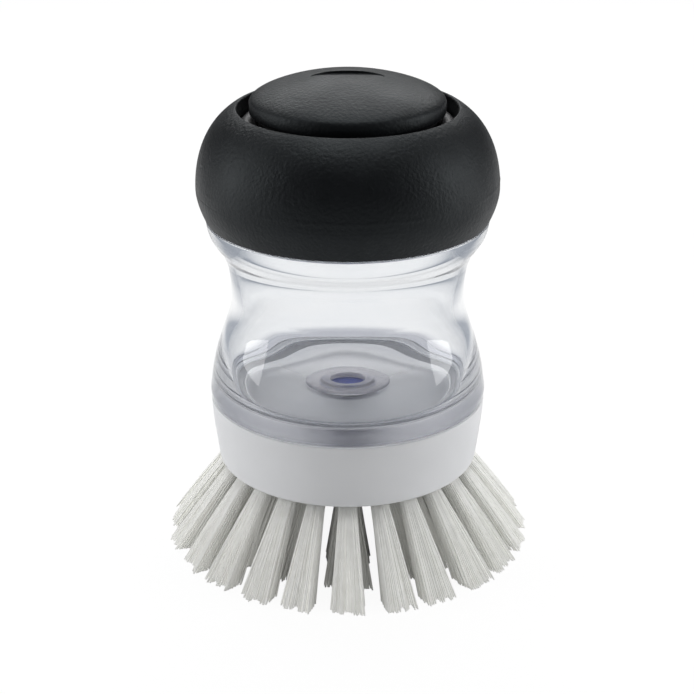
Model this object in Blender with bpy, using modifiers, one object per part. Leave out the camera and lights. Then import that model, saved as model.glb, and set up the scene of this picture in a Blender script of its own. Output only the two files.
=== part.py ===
# Soap-dispensing palm brush.
# Units are metres, +Z is up. The origin is where the object's axis meets the surface
# that the trimmed bristle tips stand on.
import math
import random

import bmesh
import bpy
from mathutils import Matrix, Vector

MM = 0.001

# Driving dimensions: the body's radius and what stands out from it or steps in
body_radius = 29.85 * MM
waist_depth = 5.03 * MM
shoulder_step = 4.25 * MM
grip_bulge = 1.87 * MM
groove_width = 2.50 * MM
head_taper = 1.40 * MM

# Driving dimensions: heights, from the tips up
tip_level = 0.0
bristle_length = 16.6 * MM
plate_rise = 2.1 * MM
hole_depth = 5.0 * MM
plate_backing = 2.4 * MM
head_wall_height = 13.4 * MM
flange_height = 1.7 * MM
flange_bevel_height = 1.3 * MM
lower_wall_height = 19.6 * MM
upper_wall_height = 17.5 * MM
neck_height = 13.2 * MM
grip_foot_height = 6.23 * MM
dome_stand = 1.25 * MM
dome_rise = 5.74 * MM
button_travel = 3.5 * MM

# Clearances
seat_gap = 0.3 * MM
thread_clearance = 0.6 * MM
overrun = 1.0 * MM
merge_distance = 0.01 * MM

# Facets of the turned pieces
large_segments = 40
inner_segments = 28
small_segments = 20


def collection_named(name):
    made = bpy.data.collections.new(name)
    bpy.context.scene.collection.children.link(made)
    return made


def material_named(name, colour, roughness, metallic=0.0, alpha=1.0, transmission=0.0):
    made = bpy.data.materials.new(name)
    made.use_nodes = True
    shader = made.node_tree.nodes["Principled BSDF"]
    shader.inputs["Base Color"].default_value = (*colour, 1.0)
    shader.inputs["Roughness"].default_value = roughness
    shader.inputs["Metallic"].default_value = metallic
    shader.inputs["Alpha"].default_value = alpha
    shader.inputs["Transmission Weight"].default_value = transmission
    made.diffuse_color = (*colour, alpha)
    return made


def between(low, high, share):
    return low + (high - low) * share


def curve_points(start, handle_a, handle_b, end, count, keep_end=True):
    """Points of a smooth stretch of an outline, as (radius, level)."""
    points = []
    last = count if keep_end else count - 1
    for i in range(last + 1):
        t = i / count
        u = 1.0 - t
        weights = (u ** 3, 3 * u * u * t, 3 * u * t * t, t ** 3)
        corners = (start, handle_a, handle_b, end)
        points.append(tuple(sum(w * c[k] for w, c in zip(weights, corners)) for k in range(2)))
    return points


def arc_points(centre, radius, angle_from, angle_to, count):
    """Points of a round stretch of an outline; angles in degrees from +radius."""
    points = []
    for i in range(count + 1):
        angle = math.radians(between(angle_from, angle_to, i / count))
        points.append((centre[0] + radius * math.cos(angle), centre[1] + radius * math.sin(angle)))
    return points


def turned(name, outline, segments, material, closed, target):
    """A turned piece: the outline runs down its outer side, then back up its inner side."""
    mesh = bpy.data.meshes.new(name)
    edges = [(i, i + 1) for i in range(len(outline) - 1)]
    if closed:
        edges.append((len(outline) - 1, 0))
    mesh.from_pydata([(r, 0.0, z) for r, z in outline], edges, [])
    made = bpy.data.objects.new(name, mesh)
    target.objects.link(made)
    screw = made.modifiers.new("Turn", "SCREW")
    screw.axis = "Z"
    screw.angle = math.tau
    screw.steps = segments
    screw.render_steps = segments
    screw.use_merge_vertices = True
    screw.merge_threshold = merge_distance
    screw.use_smooth_shade = True
    made.data.materials.append(material)
    return made


def cut(made, cutter, operation="DIFFERENCE"):
    boolean = made.modifiers.new("Cut", "BOOLEAN")
    boolean.operation = operation
    boolean.solver = "EXACT"
    boolean.object = cutter
    return made


def hide_cutter(made):
    made.hide_render = True
    made.display_type = "WIRE"
    return made


def polar(radius, angle, level):
    return Vector((radius * math.cos(angle), radius * math.sin(angle), level))


for old in list(bpy.data.objects):
    bpy.data.objects.remove(old, do_unlink=True)

parts = collection_named("palm_brush")
cutters = collection_named("cutters")

soft_black = material_named("soft_black", (0.020, 0.020, 0.021), 0.72)
hard_black = material_named("hard_black", (0.016, 0.016, 0.017), 0.42)
membrane_grey = material_named("membrane_grey", (0.055, 0.055, 0.058), 0.60)
clear_plastic = material_named("clear_plastic", (0.93, 0.94, 0.96), 0.04, alpha=0.35, transmission=1.0)
frosted_plastic = material_named("frosted_plastic", (0.72, 0.73, 0.76), 0.25, alpha=0.6)
blue_silicone = material_named("blue_silicone", (0.030, 0.055, 0.36), 0.45)
seal_rubber = material_named("seal_rubber", (0.50, 0.50, 0.50), 0.60)
white_plastic = material_named("white_plastic", (0.83, 0.84, 0.86), 0.38)
bristle_nylon = material_named("bristle_nylon", (0.80, 0.81, 0.79), 0.50)

# Levels and radii that the head and the reservoir share, where the spigot closes into the cup
plate_middle_level = tip_level + bristle_length
plate_edge_level = plate_middle_level + plate_rise
plate_top_level = plate_middle_level + hole_depth + plate_backing
head_edge_round = 1.1 * MM
head_edge_level = plate_edge_level + head_edge_round
head_rim_level = head_edge_level + head_wall_height
head_rim_inset = 0.15 * MM
head_rim_radius = body_radius - head_rim_inset
head_edge_radius = head_rim_radius - head_taper
head_edge_wall = 1.3 * MM
head_inner_radius = head_edge_radius - head_edge_wall
outlet_radius = 4.3 * MM

# Reservoir: clear waisted tank with a neck and a thick-walled open base
waist_wall = 2.5 * MM
neck_wall = 2.1 * MM
skirt_level = head_rim_level + seat_gap
flange_level = skirt_level + flange_height
flange_top_level = flange_level + flange_bevel_height
flange_bevel = 0.25 * MM
flange_top_radius = body_radius - flange_bevel
waist_level = flange_top_level + lower_wall_height
waist_radius = body_radius - waist_depth
waist_inner_radius = waist_radius - waist_wall
shoulder_level = waist_level + upper_wall_height
neck_outer_radius = body_radius - shoulder_step
neck_inner_radius = neck_outer_radius - neck_wall
neck_top_level = shoulder_level + neck_height
base_wall = 3.4 * MM
base_bore_height = 5.1 * MM
belly_inner_radius = flange_top_radius - base_wall
belly_level = skirt_level + base_bore_height

# The wall's curve: how far each handle lies on the way from one end of its stretch to the other
lower_handle_shares = (0.7525, 0.472)
lower_swell_share = 0.801
upper_handle_shares = (0.778, 0.605)
upper_swell_share = 0.909
bore_handle_share = 0.403
bore_swell_share = 0.493
waist_lower_handle = between(flange_top_level, waist_level, lower_handle_shares[0])
base_handle = (between(waist_radius, flange_top_radius, lower_swell_share),
               between(flange_top_level, waist_level, lower_handle_shares[1]))
waist_upper_handle = between(waist_level, shoulder_level, upper_handle_shares[0])
shoulder_handle = (between(waist_radius, body_radius, upper_swell_share),
                   between(waist_level, shoulder_level, upper_handle_shares[1]))
bore_handle = between(waist_level, belly_level, bore_handle_share)
bore_swell = between(belly_level, waist_level, bore_swell_share)

outside = [(neck_outer_radius, neck_top_level), (neck_outer_radius, shoulder_level)]
outside += curve_points((body_radius, shoulder_level), shoulder_handle, (waist_radius, waist_upper_handle),
                        (waist_radius, waist_level), 6, keep_end=False)
outside += curve_points((waist_radius, waist_level), (waist_radius, waist_lower_handle), base_handle,
                        (flange_top_radius, flange_top_level), 7)
outside += [(body_radius, flange_level), (head_rim_radius, skirt_level)]
inside = [(belly_inner_radius, skirt_level)]
inside += curve_points((belly_inner_radius, belly_level), (belly_inner_radius, bore_swell),
                       (waist_inner_radius, bore_handle), (waist_inner_radius, waist_level), 5,
                       keep_end=False)
inside += curve_points((waist_inner_radius, waist_level), (waist_inner_radius, waist_upper_handle),
                       (neck_inner_radius, waist_upper_handle), (neck_inner_radius, shoulder_level), 4)
inside += [(neck_inner_radius, neck_top_level)]
reservoir = turned("reservoir", outside + inside, large_segments, clear_plastic, True, parts)

# Reservoir base: the floor, welded into the tank's bore, with the valve's seat and a spigot below
floor_step = 1.3 * MM
floor_thickness = 2.4 * MM
floor_rim_width = 6.4 * MM
dish_width = 2.4 * MM
dish_height = 1.1 * MM
dish_rim_height = 2.6 * MM
dish_lip = 0.6 * MM
spigot_wall = 2.0 * MM
seat_width = 1.9 * MM
seat_depth = 1.1 * MM
floor_top_level = skirt_level + floor_step
floor_bottom_level = floor_top_level - floor_thickness
base_radius = belly_inner_radius - seat_gap
dish_radius = base_radius - dish_width
floor_rim_radius = base_radius - floor_rim_width
dish_level = floor_top_level + dish_height
dish_rim_level = dish_level + dish_rim_height
spigot_outer_radius = head_inner_radius - thread_clearance
spigot_inner_radius = spigot_outer_radius - spigot_wall
spigot_top_level = skirt_level - seat_gap
spigot_level = plate_top_level + seat_gap
seat_radius = outlet_radius + seat_width
seat_level = floor_top_level - seat_depth
reservoir_base = turned("reservoir_base", [
    (base_radius, dish_rim_level), (base_radius, spigot_top_level),
    (spigot_outer_radius, spigot_top_level), (spigot_outer_radius, spigot_level),
    (spigot_inner_radius, spigot_level), (spigot_inner_radius, floor_bottom_level),
    (outlet_radius, floor_bottom_level), (outlet_radius, seat_level),
    (seat_radius, seat_level), (seat_radius, floor_top_level),
    (floor_rim_radius, floor_top_level), (dish_radius, dish_level),
    (base_radius - dish_lip, dish_rim_level)], large_segments, clear_plastic, True, parts)

# Slit valve: a soft blue thimble with a flange, open below, sitting in the floor's counterbore
crown_step = 0.5 * MM
crown_height = 0.4 * MM
crown_dome = 0.1 * MM
crown_round = 0.3 * MM
crown_thickness = 0.9 * MM
valve_skirt_wall = 1.2 * MM
valve_skirt_drop = 1.2 * MM
valve_skirt_radius = outlet_radius - seat_gap
valve_inner_radius = valve_skirt_radius - valve_skirt_wall
valve_flange_radius = seat_radius - seat_gap
valve_flange_level = seat_level + seat_gap
valve_crown_radius = valve_skirt_radius - crown_step
valve_crown_level = floor_top_level + crown_height
valve_skirt_level = floor_bottom_level - valve_skirt_drop
valve_outline = [(0.0, valve_crown_level + crown_dome)]
valve_outline += arc_points((valve_crown_radius - crown_round, valve_crown_level - crown_round), crown_round,
                            90, 0, 2)
valve_outline += [(valve_crown_radius, floor_top_level), (valve_flange_radius, floor_top_level),
                  (valve_flange_radius, valve_flange_level), (valve_skirt_radius, valve_flange_level),
                  (valve_skirt_radius, valve_skirt_level), (valve_inner_radius, valve_skirt_level),
                  (valve_inner_radius, valve_crown_level - crown_thickness),
                  (0.0, valve_crown_level - crown_thickness)]
valve = turned("valve", valve_outline, small_segments, blue_silicone, False, parts)

# Valve retainer: a clear washer with a raised collar round the crown of the valve
retainer_thickness = 0.7 * MM
collar_height = 0.6 * MM
collar_wall = 2.1 * MM
retainer_brim = 3.3 * MM
retainer_chamfer = 0.3 * MM
retainer_inner_radius = valve_crown_radius + seat_gap
collar_radius = retainer_inner_radius + collar_wall
retainer_outer_radius = collar_radius + retainer_brim
retainer_bottom = floor_top_level + seat_gap
retainer_top = retainer_bottom + retainer_thickness
collar_top = retainer_top + collar_height
valve_retainer = turned("valve_retainer", [
    (collar_radius - retainer_chamfer, collar_top), (collar_radius, retainer_top),
    (retainer_outer_radius - retainer_chamfer, retainer_top),
    (retainer_outer_radius, retainer_top - retainer_chamfer), (retainer_outer_radius, retainer_bottom),
    (retainer_inner_radius, retainer_bottom), (retainer_inner_radius, collar_top)],
    inner_segments, frosted_plastic, True, parts)

# Cap core: rigid screw cap, a skirt round the neck with a deck on top
gasket_thickness = 1.0 * MM
retaining_thickness = 0.9 * MM
bead_thickness = 1.3 * MM
deck_thickness = 1.6 * MM
core_wall = 1.7 * MM
core_edge = 1.4 * MM
deck_reach = 0.6 * MM
core_inner_radius = neck_outer_radius + thread_clearance
core_outer_radius = core_inner_radius + core_wall
core_bottom_level = shoulder_level + seat_gap
gasket_bottom = neck_top_level + seat_gap
gasket_top = gasket_bottom + gasket_thickness
retaining_bottom = gasket_top + seat_gap
retaining_top = retaining_bottom + retaining_thickness
bead_bottom = retaining_top + seat_gap
bead_top = bead_bottom + bead_thickness
deck_bottom = bead_top + seat_gap
deck_top = deck_bottom + deck_thickness
deck_inner_radius = neck_inner_radius - deck_reach
cap_core = turned("cap_core", [
    (deck_inner_radius, deck_top), (core_outer_radius - core_edge, deck_top),
    (core_outer_radius, deck_top - core_edge), (core_outer_radius, core_bottom_level),
    (core_inner_radius, core_bottom_level), (core_inner_radius, deck_bottom),
    (deck_inner_radius, deck_bottom)], large_segments, hard_black, True, parts)

# Levels of the button, from the membrane's lip under the deck up to the dome
pad_skirt_reserve = 1.7 * MM
pad_side_height = 2.3 * MM
plunger_lip_level = deck_bottom - 2 * seat_gap
pad_bottom_level = plunger_lip_level + button_travel + pad_skirt_reserve
dome_edge_level = pad_bottom_level + pad_side_height
dome_top_level = dome_edge_level + dome_rise

# Grip ring: soft moulding over the cap core, with a rolled rim round the button's groove
groove_lip = 0.15 * MM
rim_roll = 0.55 * MM
grip_foot_step = 0.05 * MM
groove_radius = deck_inner_radius - groove_lip
grip_rim_radius = groove_radius + rim_roll
grip_rim_level = dome_edge_level - dome_stand
grip_wide_radius = body_radius + grip_bulge
grip_wide_level = core_bottom_level + grip_foot_height
grip_foot_radius = body_radius + grip_foot_step
grip_inner_radius = core_outer_radius + seat_gap
rim_roll_level = grip_rim_level - rim_roll
rim_roll_start = 180
rim_roll_end = 120
foot_handle_shares = (0.099, 0.0525)
foot_swell_share = 0.4185
crown_swell_share = 0.15
crown_handle_shares = (0.976, 0.7306)
grip_foot_handle = (between(grip_foot_radius, grip_wide_radius, foot_handle_shares[0]),
                    between(core_bottom_level, grip_wide_level, foot_handle_shares[1]))
grip_foot_swell = (grip_wide_radius, between(core_bottom_level, grip_wide_level, foot_swell_share))
grip_crown_swell = (grip_wide_radius, between(grip_wide_level, grip_rim_level, crown_swell_share))
grip_crown_handle = (between(grip_rim_radius, grip_wide_radius, crown_handle_shares[0]),
                     between(grip_wide_level, grip_rim_level, crown_handle_shares[1]))
grip_outline = [(groove_radius, rim_roll_level)]
grip_outline += arc_points((grip_rim_radius, rim_roll_level), rim_roll, rim_roll_start, rim_roll_end, 2)[1:]
grip_outline += curve_points((grip_rim_radius, grip_rim_level), grip_crown_handle,
                             grip_crown_swell, (grip_wide_radius, grip_wide_level), 7, keep_end=False)
grip_outline += curve_points((grip_wide_radius, grip_wide_level), grip_foot_swell,
                             grip_foot_handle, (grip_foot_radius, core_bottom_level), 4)
grip_outline += [(grip_inner_radius, core_bottom_level), (grip_inner_radius, deck_top - core_edge),
                 (core_outer_radius - core_edge, deck_top + seat_gap), (groove_radius, deck_top + seat_gap)]
grip_ring = turned("grip_ring", grip_outline, large_segments, soft_black, True, parts)

# Cap gasket: flat seal ring on the top of the neck
cap_gasket = turned("cap_gasket", [
    (neck_outer_radius, gasket_top), (neck_outer_radius, gasket_bottom),
    (neck_inner_radius, gasket_bottom), (neck_inner_radius, gasket_top)],
    large_segments, seal_rubber, True, parts)

# Diaphragm retainer: ring that holds the membrane's bead up under the deck
loop_outer_radius = groove_radius - seat_gap
retaining_inner_radius = loop_outer_radius - groove_lip
retaining_outer_radius = core_inner_radius - seat_gap
diaphragm_retainer = turned("diaphragm_retainer", [
    (retaining_outer_radius, retaining_top), (retaining_outer_radius, retaining_bottom),
    (retaining_inner_radius, retaining_bottom), (retaining_inner_radius, retaining_top)],
    large_segments, hard_black, True, parts)

# Button plunger: rigid domed disc on a hub with a lower flange that holds the membrane's lip
pad_wall = 1.5 * MM
pad_thickness = 2.0 * MM
pad_edge_lap = 1.6 * MM
lip_thickness = 0.8 * MM
lip_width = 4.9 * MM
plunger_flange_thickness = 0.9 * MM
plunger_flange_reach = 3.3 * MM
hub_wall = 2.7 * MM
hub_roof = 1.3 * MM
dome_edge_radius = groove_radius - groove_width
plunger_radius = dome_edge_radius - pad_wall - seat_gap
plunger_edge_level = dome_edge_level - pad_edge_lap
plunger_top_level = dome_top_level - pad_thickness - seat_gap
plunger_shoulder_level = (plunger_edge_level + plunger_top_level) / 2
plunger_hub_radius = plunger_radius - lip_width
plunger_flange_top = plunger_lip_level - lip_thickness - 2 * seat_gap
plunger_flange_bottom = plunger_flange_top - plunger_flange_thickness
plunger_flange_radius = plunger_hub_radius + plunger_flange_reach
hub_well_radius = plunger_hub_radius - hub_wall
hub_well_top = plunger_edge_level - hub_roof
plunger_outline = curve_points((0.0, plunger_top_level), (plunger_radius / 2, plunger_top_level),
                               (plunger_radius, plunger_shoulder_level),
                               (plunger_radius, plunger_edge_level), 5)
plunger_outline += [(plunger_radius, plunger_lip_level), (plunger_hub_radius, plunger_lip_level),
                    (plunger_hub_radius, plunger_flange_top), (plunger_flange_radius, plunger_flange_top),
                    (plunger_flange_radius, plunger_flange_bottom),
                    (hub_well_radius, plunger_flange_bottom), (hub_well_radius, hub_well_top),
                    (0.0, hub_well_top)]
button_plunger = turned("button_plunger", plunger_outline, inner_segments, hard_black, False, parts)

# Diaphragm: rolling membrane, from a lip round the hub over a loop in the groove to its outer bead
membrane = 0.6 * MM
loop_stand = 1.5 * MM
lip_top = plunger_lip_level - seat_gap
lip_bottom = lip_top - lip_thickness
lip_inner_radius = plunger_hub_radius + seat_gap
loop_inner_radius = plunger_radius + seat_gap
loop_centre = (loop_outer_radius + loop_inner_radius) / 2
loop_radius = (loop_outer_radius - loop_inner_radius) / 2
loop_level = deck_top + loop_stand - loop_radius
diaphragm_outline = [(loop_outer_radius, loop_level), (loop_outer_radius, bead_top),
                     (retaining_outer_radius, bead_top), (retaining_outer_radius, bead_bottom),
                     (loop_outer_radius - membrane, bead_bottom)]
diaphragm_outline += arc_points((loop_centre, loop_level), loop_radius - membrane, 0, 180, 4)
diaphragm_outline += [(loop_inner_radius + membrane, lip_bottom), (lip_inner_radius, lip_bottom),
                      (lip_inner_radius, lip_top), (loop_inner_radius, lip_top)]
diaphragm_outline += arc_points((loop_centre, loop_level), loop_radius, 180, 0, 6)[:-1]
diaphragm = turned("diaphragm", diaphragm_outline, inner_segments, membrane_grey, True, parts)

# Button pad: soft dome over the plunger, with a shallow bare oval recess on top
dome_flat_share = 0.4056
dome_shoulder_share = 0.363
pad_inner_edge = plunger_edge_level + seat_gap
pad_inner_top = plunger_top_level + seat_gap
pad_inner_shoulder = (pad_inner_edge + pad_inner_top) / 2
pad_outline = curve_points((0.0, dome_top_level), (dome_edge_radius * dome_flat_share, dome_top_level),
                           (dome_edge_radius, between(dome_edge_level, dome_top_level, dome_shoulder_share)),
                           (dome_edge_radius, dome_edge_level), 7)
pad_outline += [(dome_edge_radius, pad_bottom_level), (loop_inner_radius, pad_bottom_level)]
pad_outline += curve_points((loop_inner_radius, pad_inner_edge), (loop_inner_radius, pad_inner_shoulder),
                            (loop_inner_radius / 2, pad_inner_top), (0.0, pad_inner_top), 4)
button_pad = turned("button_pad", pad_outline, large_segments, soft_black, False, parts)
recess_depth = 0.6 * MM
recess_length_share = 0.706
recess_width_share = 0.556
recess_floor_level = dome_top_level - recess_depth
bpy.ops.mesh.primitive_cylinder_add(vertices=small_segments, radius=dome_edge_radius * recess_length_share / 2,
                                    depth=2 * overrun, location=(0.0, 0.0, recess_floor_level + overrun))
recess_cutter = hide_cutter(bpy.context.object)
recess_cutter.name = "recess_cutter"
recess_cutter.scale = (1.0, recess_width_share, 1.0)
bpy.ops.object.transform_apply(location=False, rotation=False, scale=True)
cut(button_pad, recess_cutter)

# Brush head: white cup that closes over the spigot, with a domed bristle plate and a soap duct
seal_thickness = 1.3 * MM
boss_wall = 3.0 * MM
plate_edge_radius = head_edge_radius - head_edge_round
duct_radius = outlet_radius - seat_gap
boss_radius = duct_radius + boss_wall
boss_level = floor_bottom_level - seal_thickness - 2 * seat_gap
cup_rim_shares = (0.78, 0.667)
cup_edge_shares = (0.45, 0.333)
cup_round_start = -30
cup_round_end = -90
cup_rim_handle = (between(head_edge_radius, head_rim_radius, cup_rim_shares[0]),
                  between(head_edge_level, head_rim_level, cup_rim_shares[1]))
cup_edge_handle = (between(head_edge_radius, head_rim_radius, cup_edge_shares[0]),
                   between(head_edge_level, head_rim_level, cup_edge_shares[1]))
head_outline = [(head_inner_radius, head_rim_level)]
head_outline += curve_points((head_rim_radius, head_rim_level), cup_rim_handle, cup_edge_handle,
                             (head_edge_radius, head_edge_level), 4)
head_outline += arc_points((plate_edge_radius, head_edge_level), head_edge_round, cup_round_start,
                           cup_round_end, 2)
head_outline += curve_points((plate_edge_radius, plate_edge_level), (plate_edge_radius / 2, plate_middle_level),
                             (boss_radius, plate_middle_level), (duct_radius, plate_middle_level), 4)[1:]
head_outline += [(duct_radius, boss_level), (boss_radius, boss_level), (boss_radius, plate_top_level),
                 (head_inner_radius, plate_top_level)]
brush_head = turned("brush_head", head_outline, large_segments, white_plastic, True, parts)

# Head seal: ring between the boss of the head and the floor of the tank, round the valve
seal_bottom = boss_level + seat_gap
seal_top = seal_bottom + seal_thickness
seal_inner_radius = valve_skirt_radius + seat_gap
head_seal = turned("head_seal", [
    (boss_radius, seal_top), (boss_radius, seal_bottom),
    (seal_inner_radius, seal_bottom), (seal_inner_radius, seal_top)],
    small_segments, seal_rubber, True, parts)

# Tufts: bundles of filaments set in blind holes, fanning out to trimmed tips
plug_radius = 1.8 * MM
plug_sides = 8
plug_overhang = 1.2 * MM
plug_length = hole_depth - seat_gap
hole_radius = plug_radius + seat_gap
strand_root_pitch = 0.76 * MM
strand_gap = 0.22 * MM
strand_sunk = 1.0 * MM
trim_scatter = 1.3 * MM
trim_bias = 0.7 * MM
tuft_variants = 3
strands_in_row = 3

# Outer ring of tufts, the closest to the plate's edge and the flattest fans
outer_tufts = 24
outer_edge_margin = 0.5 * MM
outer_root_radius = plate_edge_radius - plug_radius - outer_edge_margin
outer_level_share = 0.762
outer_fan = 13.3 * MM
outer_rows = 3
outer_pitch_across = 2.25 * MM
outer_pitch_deep = 1.55 * MM

# Middle and inner rings, whose fans are rounder
middle_tufts = 14
middle_radius_share = 0.707
middle_level_share = 0.286
middle_fan = 10.2 * MM
inner_tufts = 8
inner_radius_share = 0.426
inner_level_share = 0.095
inner_fan = 6.0 * MM
round_rows = 2
round_pitch_across = 2.45 * MM
round_pitch_deep = 2.30 * MM

# Each ring: name, tufts, root radius, root level, fan, strands deep, tip pitches across and deep
tuft_rings = (
    ("outer", outer_tufts, outer_root_radius, between(plate_middle_level, plate_edge_level, outer_level_share),
     outer_fan, outer_rows, outer_pitch_across, outer_pitch_deep),
    ("middle", middle_tufts, outer_root_radius * middle_radius_share,
     between(plate_middle_level, plate_edge_level, middle_level_share),
     middle_fan, round_rows, round_pitch_across, round_pitch_deep),
    ("inner", inner_tufts, outer_root_radius * inner_radius_share,
     between(plate_middle_level, plate_edge_level, inner_level_share),
     inner_fan, round_rows, round_pitch_across, round_pitch_deep),
)


def cylinder_along(mesh_data, radius, start, end, tilt, sides):
    """Adds a cylinder along the tuft's axis, from start to end outwards of the hole's mouth."""
    made = bmesh.ops.create_cone(mesh_data, cap_ends=True, segments=sides, radius1=radius, radius2=radius,
                                 depth=end - start)
    turn = Matrix.Rotation(math.pi - tilt, 4, "Y")
    shift = Matrix.Translation((0.0, 0.0, (start + end) / 2))
    bmesh.ops.transform(mesh_data, matrix=turn @ shift, verts=made["verts"])
    return made["verts"]


def object_from(name, mesh_data, target):
    mesh = bpy.data.meshes.new(name)
    mesh_data.to_mesh(mesh)
    mesh_data.free()
    made = bpy.data.objects.new(name, mesh)
    target.objects.link(made)
    return made


def tuft_mesh(name, ring, seed):
    """One tuft in its own frame: origin at the hole's mouth, +X away from the object's axis.

    Each strand is a flat-sided bundle that widens from its root to its tip. A strand that is
    trimmed shorter ends sooner on the same line, so its neighbours stay clear of it.
    """
    _, _, _, root_level, fan, rows, pitch_across, pitch_deep = ring
    chance = random.Random(seed)
    height = root_level - tip_level
    tilt = math.atan2(fan, height)
    outward = Vector((math.sin(tilt), 0.0, -math.cos(tilt)))
    plug_data = bmesh.new()
    cylinder_along(plug_data, plug_radius, -plug_length, plug_overhang, tilt, plug_sides)
    plug = object_from(name, plug_data, cutters)
    plug.data.materials.append(bristle_nylon)
    strands_data = bmesh.new()
    root_centre = outward * (plug_overhang - strand_sunk)
    root_half = (strand_root_pitch - strand_gap / 2) / 2
    tip_centre = Vector((fan, 0.0, -height))
    for i in range(strands_in_row):
        for j in range(rows):
            a = i - (strands_in_row - 1) / 2
            b = j - (rows - 1) / 2
            tip_raise = max(0.0, chance.uniform(-trim_bias, trim_scatter))
            length_share = 1.0 - tip_raise / (height + root_centre.z)
            box = bmesh.ops.create_cube(strands_data, size=1.0)["verts"]
            for corner in box:
                u = 2 * corner.co.x
                v = 2 * corner.co.y
                at_root = root_centre + Vector((b * strand_root_pitch + u * root_half,
                                                a * strand_root_pitch + v * root_half, 0.0))
                at_tip = tip_centre + Vector((b * pitch_deep + u * (pitch_deep - strand_gap) / 2,
                                              a * pitch_across + v * (pitch_across - strand_gap) / 2, 0.0))
                corner.co = at_root if corner.co.z > 0 else at_root.lerp(at_tip, length_share)
    bmesh.ops.recalc_face_normals(strands_data, faces=strands_data.faces)
    strands = hide_cutter(object_from(name + "_strands", strands_data, cutters))
    cut(plug, strands, "UNION")
    bpy.context.view_layer.update()
    graph = bpy.context.evaluated_depsgraph_get()
    mesh = bpy.data.meshes.new_from_object(plug.evaluated_get(graph))
    bpy.data.objects.remove(plug, do_unlink=True)
    bpy.data.objects.remove(strands, do_unlink=True)
    return mesh


head_axis = bpy.data.objects.new("head_axis", None)
parts.objects.link(head_axis)
brush_head.parent = head_axis
first_tuft_angle = -math.pi / 2
holes_data = bmesh.new()
for ring in tuft_rings:
    ring_name, count, root_radius, root_level, fan = ring[:5]
    meshes = [tuft_mesh(f"tuft_{ring_name}_mesh_{k}", ring, seed=k) for k in range(tuft_variants)]
    tilt = math.atan2(fan, root_level - tip_level)
    for i in range(count):
        angle = first_tuft_angle + math.tau * i / count
        tuft = bpy.data.objects.new(f"tuft_{ring_name}_{i + 1:02d}", meshes[i % tuft_variants])
        parts.objects.link(tuft)
        tuft.parent = head_axis
        tuft.location = polar(root_radius, angle, root_level)
        tuft.rotation_euler = (0.0, 0.0, angle)
        hole = cylinder_along(holes_data, hole_radius, -hole_depth, hole_depth, tilt, plug_sides)
        place = Matrix.Translation(tuft.location) @ Matrix.Rotation(angle, 4, "Z")
        bmesh.ops.transform(holes_data, matrix=place, verts=hole)
tuft_holes = hide_cutter(object_from("tuft_holes", holes_data, cutters))
cut(brush_head, tuft_holes)
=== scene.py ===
import math

import bmesh
import bpy
from mathutils import Matrix, Vector


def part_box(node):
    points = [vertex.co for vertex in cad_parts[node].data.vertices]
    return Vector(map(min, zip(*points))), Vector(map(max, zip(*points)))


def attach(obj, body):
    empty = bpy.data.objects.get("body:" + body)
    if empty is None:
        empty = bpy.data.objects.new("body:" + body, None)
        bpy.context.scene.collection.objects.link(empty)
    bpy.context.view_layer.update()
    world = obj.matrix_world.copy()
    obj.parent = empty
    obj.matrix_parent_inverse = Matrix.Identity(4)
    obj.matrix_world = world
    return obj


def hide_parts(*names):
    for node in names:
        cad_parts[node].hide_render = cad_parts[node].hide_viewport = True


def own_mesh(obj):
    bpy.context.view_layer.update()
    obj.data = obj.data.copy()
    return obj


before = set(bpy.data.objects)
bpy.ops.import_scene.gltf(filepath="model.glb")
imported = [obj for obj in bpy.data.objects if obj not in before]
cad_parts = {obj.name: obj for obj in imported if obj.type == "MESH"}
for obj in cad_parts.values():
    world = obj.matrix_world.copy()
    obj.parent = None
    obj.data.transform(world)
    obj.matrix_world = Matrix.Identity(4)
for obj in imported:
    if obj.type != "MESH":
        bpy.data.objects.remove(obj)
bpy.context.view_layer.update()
MM = 0.001

# Brush head
# A white moulded cup that closes over the tank's spigot. Its domed lower plate is drilled for
# the tufts and has the soap duct in the middle. The outer wall flares a little towards the rim.
head_edge = (28.3 * MM, 19.8 * MM)
head_rim = (29.7 * MM, 33.2 * MM)
head_flare = ((29.6 * MM, 28.9 * MM), (28.9 * MM, 24.3 * MM))
head_bore = 27.0 * MM
plate_top = 24.0 * MM
plate_middle = 16.6 * MM
plate_round = 1.1 * MM
duct_radius = 4.0 * MM
duct_boss = (7.0 * MM, 30.5 * MM)
soft_edge = 0.35 * MM
around = 192
same_point = 0.0005 * MM
seam_within = 0.002 * MM

# Each ring of tufts: count, root radius, root level, tip radius
outer_ring = (24, 24.9 * MM, 18.2 * MM, 38.2 * MM)
middle_ring = (14, 17.6 * MM, 17.2 * MM, 27.8 * MM)
inner_ring = (8, 10.6 * MM, 16.8 * MM, 16.6 * MM)
hole_radius = 2.1 * MM
hole_depth = 5.0 * MM
first_tuft = -math.pi / 2


def swept_curve(start, pull_start, pull_end, end, count, with_end=True):
    """A smooth stretch of an outline between two points, with its two handles."""
    points = []
    handles = (start, pull_start, pull_end, end)
    for i in range(count + (1 if with_end else 0)):
        t = i / count
        u = 1 - t
        weights = (u ** 3, 3 * u * u * t, 3 * u * t * t, t ** 3)
        points.append(tuple(sum(weight * handle[axis] for weight, handle in zip(weights, handles))
                            for axis in (0, 1)))
    return points


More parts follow.
